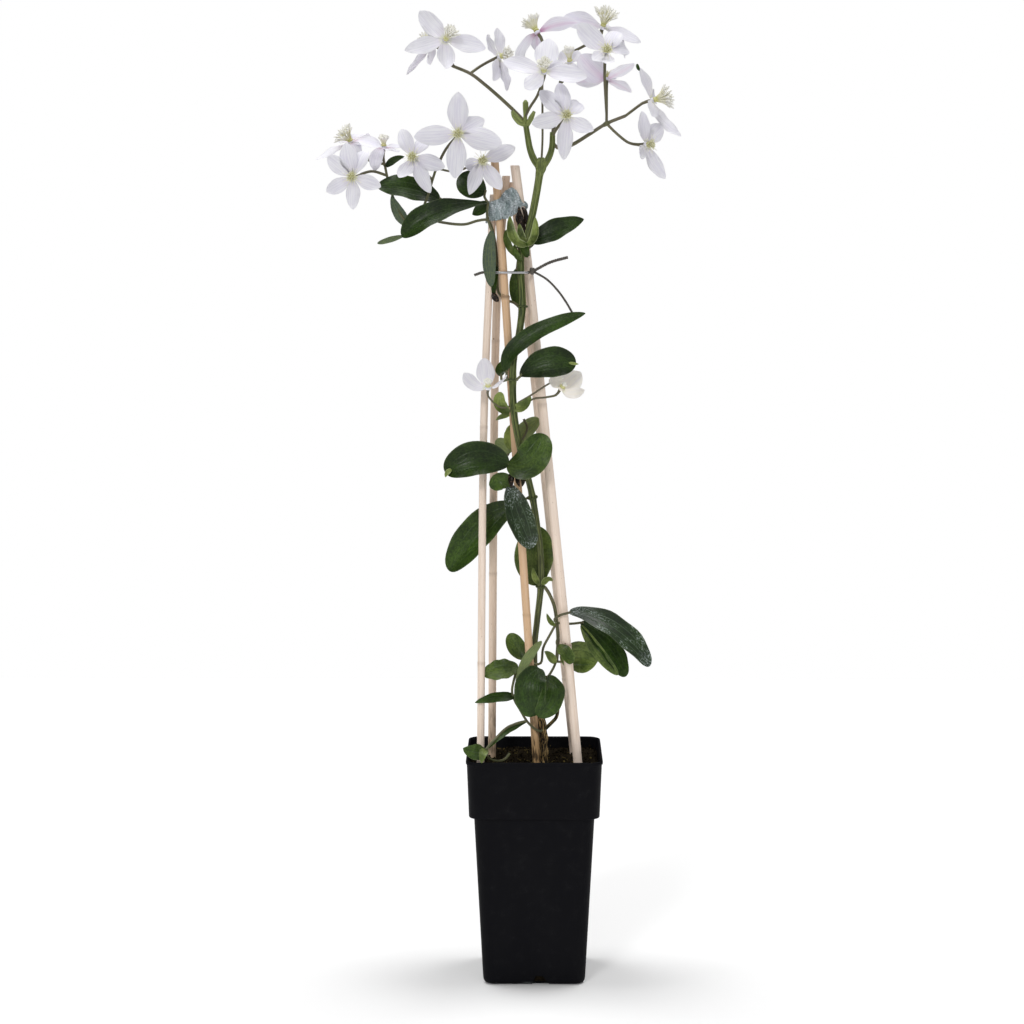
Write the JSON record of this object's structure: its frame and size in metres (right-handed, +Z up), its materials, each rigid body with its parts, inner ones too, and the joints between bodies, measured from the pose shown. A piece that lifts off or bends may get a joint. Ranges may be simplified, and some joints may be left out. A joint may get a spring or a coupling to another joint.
{
  "type": "potted clematis",
  "caption": "Evergreen clematis in flower, with glossy leaves and open white blooms, tied to bamboo canes in a deep square black nursery pot of compost.",
  "frame": {"origin": "middle of the pot's underside, on the surface that the pot stands on", "axes": "+Z is up along the pot; +X is to the right and -Y is towards the viewer of the reference picture; +Z is the longest extent"},
  "size_m": [0.2919, 0.1155, 0.7814],
  "materials": {
    "pot": "matte black moulded plastic",
    "soil": "rough dark compost with pale specks",
    "cane": "pale satin bamboo",
    "wire": "dark coated wire with a silvery strand in front",
    "tape": "crumpled silvery blue-green tape",
    "bark": "peeling brown bark",
    "stem": "ribbed green stem, satin",
    "leaf": "leathery dark green, glossy above and greyer beneath",
    "petal": "soft white with a faint lilac tint",
    "stamen": "cream threads with a yellow-green heart"
  },
  "bodies": {
    "root": {"pot": "pot", "soil": "soil", "cane_front_left": "cane", "cane_back_left": "cane", "cane_centre": "cane", "cane_right": "cane", "cane_back_right": "cane", "wire_tie": "wire", "tie_tape": "tape", "woody_base": "bark", "main_stem": "stem", "low_shoot": "leaf", "low_left_shoot": "leaf", "frond_mid_left": "leaf", "frond_middle": "leaf", "frond_upper": "leaf", "frond_crown": "leaf", "left_spray": "leaf", "crown_left_petals": "petal", "crown_left_stamens": "stamen", "crown_left_back_petals": "petal", "crown_left_back_stamens": "stamen", "crown_left_side_petals": "petal", "crown_left_side_stamens": "stamen", "crown_up_left_petals": "petal", "crown_up_left_stamens": "stamen", "crown_front_petals": "petal", "crown_front_stamens": "stamen", "crown_inner_petals": "petal", "crown_inner_stamens": "stamen", "crown_top_petals": "petal", "crown_top_stamens": "stamen", "crown_right_front_petals": "petal", "crown_right_front_stamens": "stamen", "crown_right_low_petals": "petal", "crown_right_low_stamens": "stamen", "crown_far_right_petals": "petal", "crown_far_right_stamens": "stamen", "crown_far_right_low_petals": "petal", "crown_far_right_low_stamens": "stamen", "crown_middle_petals": "petal", "crown_middle_stamens": "stamen", "side_large_petals": "petal", "side_large_stamens": "stamen", "side_right_petals": "petal", "side_right_stamens": "stamen", "side_centre_petals": "petal", "side_centre_stamens": "stamen", "side_far_left_petals": "petal", "side_far_left_stamens": "stamen", "side_far_left_back_petals": "petal", "side_far_left_back_stamens": "stamen", "side_upright_petals": "petal", "side_upright_stamens": "stamen", "stem_left_petals": "petal", "stem_left_stamens": "stamen", "stem_right_petals": "petal", "stem_right_stamens": "stamen"}
  },
  "joints": []
}
